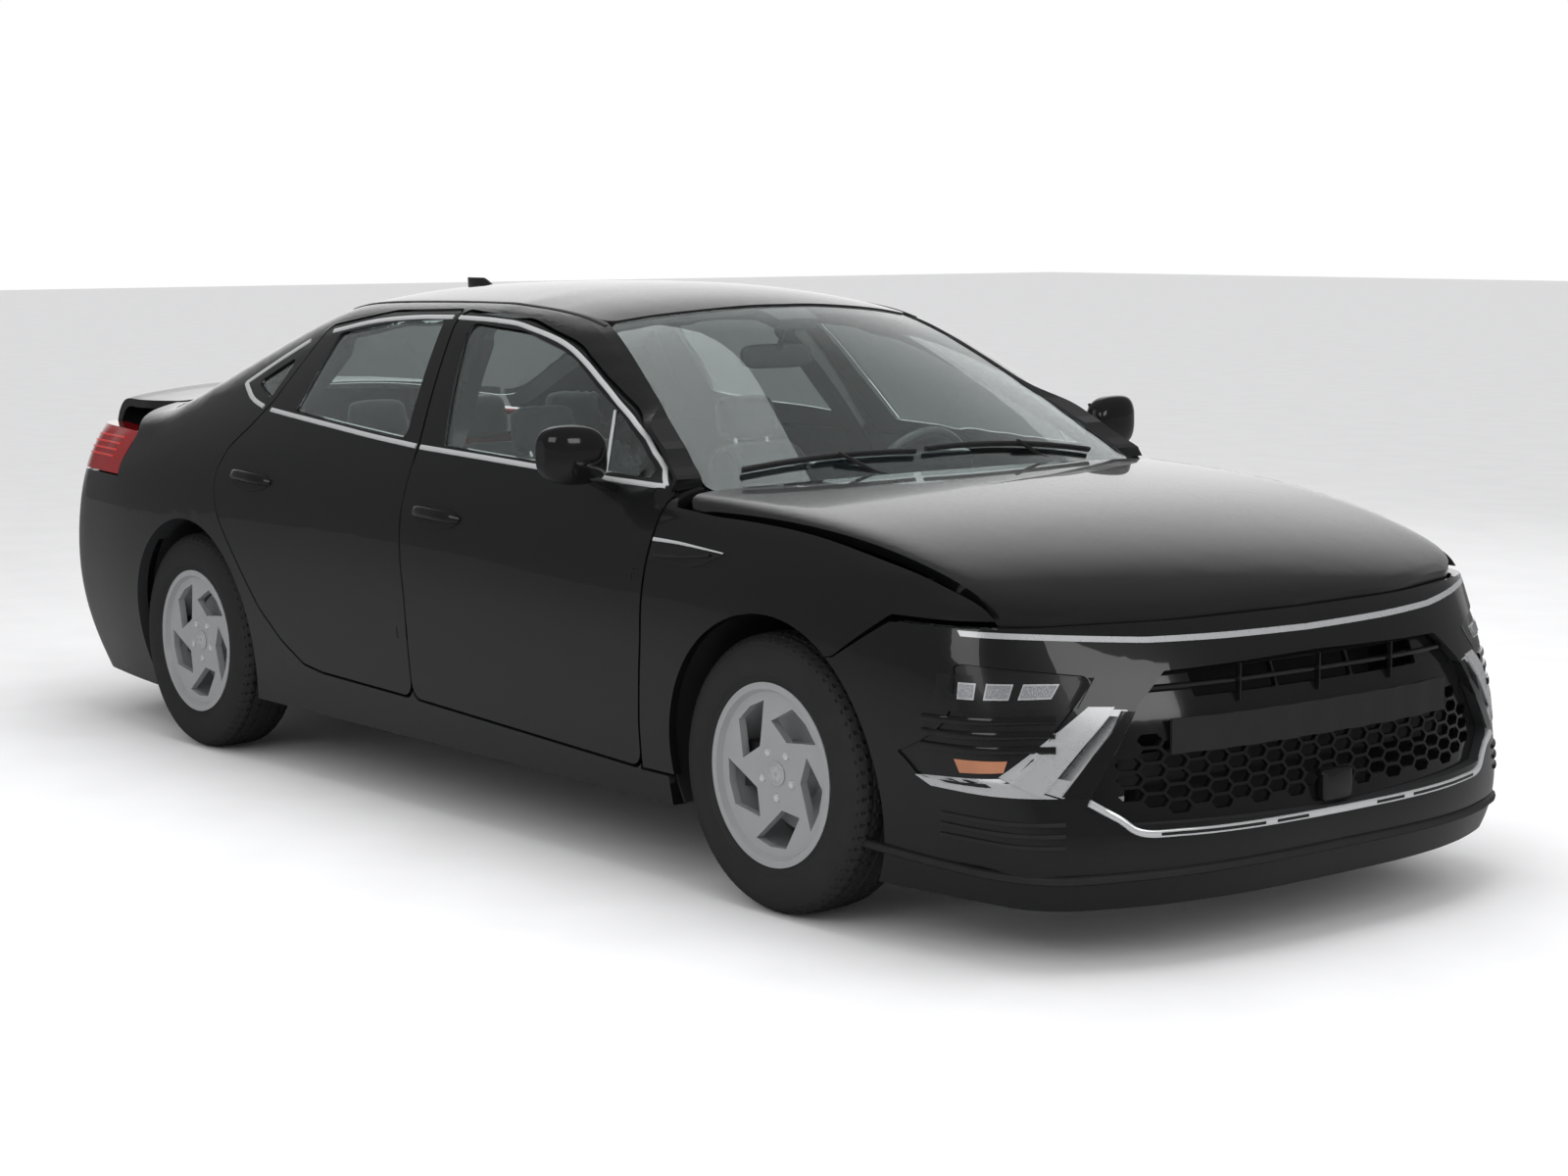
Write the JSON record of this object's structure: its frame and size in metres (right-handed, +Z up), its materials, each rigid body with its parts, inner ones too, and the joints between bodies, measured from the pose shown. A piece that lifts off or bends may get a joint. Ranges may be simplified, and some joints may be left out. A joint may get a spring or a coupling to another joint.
{
  "type": "sedan car",
  "caption": "Four-door saloon car: hollow cabin, hinged doors, bonnet and boot lid, steered front wheels and rolling wheels.",
  "frame": {"origin": "on the floor, under the middle of the car's box", "axes": "+X forward along the car, +Y to the car's left, +Z up"},
  "size_m": [4.9047, 2.068, 1.4464],
  "materials": {
    "body_paint": "deep black gloss",
    "glass": "clear, slightly green-grey",
    "tyre": "matt black rubber",
    "wheel_silver": "painted silver cast alloy",
    "suspension_steel": "dark coated steel",
    "underbody": "matt dark coating",
    "engine": "cast metal",
    "exhaust_steel": "stainless steel",
    "cabin_plastic": "soft dark grain",
    "seat_cloth": "dark woven cloth",
    "grille_black": "black",
    "satin_silver": "satin silver",
    "bright_trim": "bright",
    "lamp_clear": "clear lens",
    "lamp_red": "red lens"
  },
  "bodies": {
    "shell": {"floor_pan": "underbody", "front_frame": "underbody", "boot_floor": "underbody", "side_frame_left": "body_paint", "side_frame_right": "body_paint", "roof_panel": "body_paint", "fixed_glass": "glass", "front_wings": "body_paint", "front_bumper": "body_paint", "rear_bumper": "body_paint", "grille": "grille_black", "winglets": "satin_silver", "light_bar": "bright_trim", "headlamps": "lamp_clear", "tail_lamps": "lamp_red", "dashboard": "cabin_plastic", "centre_console": "cabin_plastic", "front_seats": "seat_cloth", "rear_seat": "seat_cloth", "front_suspension": "suspension_steel", "rear_suspension": "suspension_steel", "engine_block": "engine", "exhaust": "exhaust_steel"},
    "front_door_left": {"door_front_left": "body_paint", "glass_front_left": "glass", "mirror_left": "body_paint"},
    "front_door_right": {"door_front_right": "body_paint", "glass_front_right": "glass", "mirror_right": "body_paint"},
    "rear_door_left": {"door_rear_left": "body_paint", "glass_rear_left": "glass"},
    "rear_door_right": {"door_rear_right": "body_paint", "glass_rear_right": "glass"},
    "bonnet_lid": {"bonnet": "body_paint"},
    "boot": {"boot_lid": "body_paint"},
    "wheel_control": {"steering_wheel": "cabin_plastic"},
    "steer_left": {"knuckle_left": "suspension_steel"},
    "steer_right": {"knuckle_right": "suspension_steel"},
    "wheel_front_left": {"tyre_front_left": "tyre", "rim_front_left": "wheel_silver"},
    "wheel_front_right": {"tyre_front_right": "tyre", "rim_front_right": "wheel_silver"},
    "wheel_rear_left": {"tyre_rear_left": "tyre", "rim_rear_left": "wheel_silver"},
    "wheel_rear_right": {"tyre_rear_right": "tyre", "rim_rear_right": "wheel_silver"}
  },
  "joints": [
    {"name": "front_door_left_hinge", "type": "hinge", "parent": "shell", "child": "front_door_left", "pos_m": [0.972, 0.9085, 0.62], "axis": [0, 0, -1], "range_deg": [0, 66]},
    {"name": "rear_door_left_hinge", "type": "hinge", "parent": "shell", "child": "rear_door_left", "pos_m": [-0.135, 0.9085, 0.62], "axis": [0, 0, -1], "range_deg": [0, 68]},
    {"name": "front_door_right_hinge", "type": "hinge", "parent": "shell", "child": "front_door_right", "pos_m": [0.972, -0.9085, 0.62], "axis": [0, 0, 1], "range_deg": [0, 66]},
    {"name": "rear_door_right_hinge", "type": "hinge", "parent": "shell", "child": "rear_door_right", "pos_m": [-0.135, -0.9085, 0.62], "axis": [0, 0, 1], "range_deg": [0, 68]},
    {"name": "bonnet_hinge", "type": "hinge", "parent": "shell", "child": "bonnet_lid", "pos_m": [1.098, 0, 0.945], "axis": [0, -1, 0], "range_deg": [0, 50]},
    {"name": "boot_hinge", "type": "hinge", "parent": "shell", "child": "boot", "pos_m": [-1.888, 0, 1.04], "axis": [0, 1, 0], "range_deg": [0, 75]},
    {"name": "steering", "type": "hinge", "parent": "shell", "child": "wheel_control", "pos_m": [0.56, 0.37, 0.87], "axis": [-0.9063, 0, 0.4226], "range_deg": [-450, 450]},
    {"name": "steer_left", "type": "hinge", "parent": "shell", "child": "steer_left", "pos_m": [1.487, 0.74, 0.334], "axis": [0, 0, 1], "range_deg": [-35, 35]},
    {"name": "steer_right", "type": "hinge", "parent": "shell", "child": "steer_right", "pos_m": [1.487, -0.74, 0.334], "axis": [0, 0, 1], "range_deg": [-35, 35]},
    {"name": "roll_front_left", "type": "hinge", "parent": "steer_left", "child": "wheel_front_left", "pos_m": [1.487, 0.81, 0.334], "axis": [0, 1, 0], "continuous": true},
    {"name": "roll_rear_left", "type": "hinge", "parent": "shell", "child": "wheel_rear_left", "pos_m": [-1.353, 0.81, 0.334], "axis": [0, 1, 0], "continuous": true},
    {"name": "roll_front_right", "type": "hinge", "parent": "steer_right", "child": "wheel_front_right", "pos_m": [1.487, -0.81, 0.334], "axis": [0, 1, 0], "continuous": true},
    {"name": "roll_rear_right", "type": "hinge", "parent": "shell", "child": "wheel_rear_right", "pos_m": [-1.353, -0.81, 0.334], "axis": [0, 1, 0], "continuous": true}
  ],
  "couplings": [
    {"joint": "steer_left", "follows": "steering", "ratio": 0.075556},
    {"joint": "steer_right", "follows": "steering", "ratio": 0.075556}
  ]
}
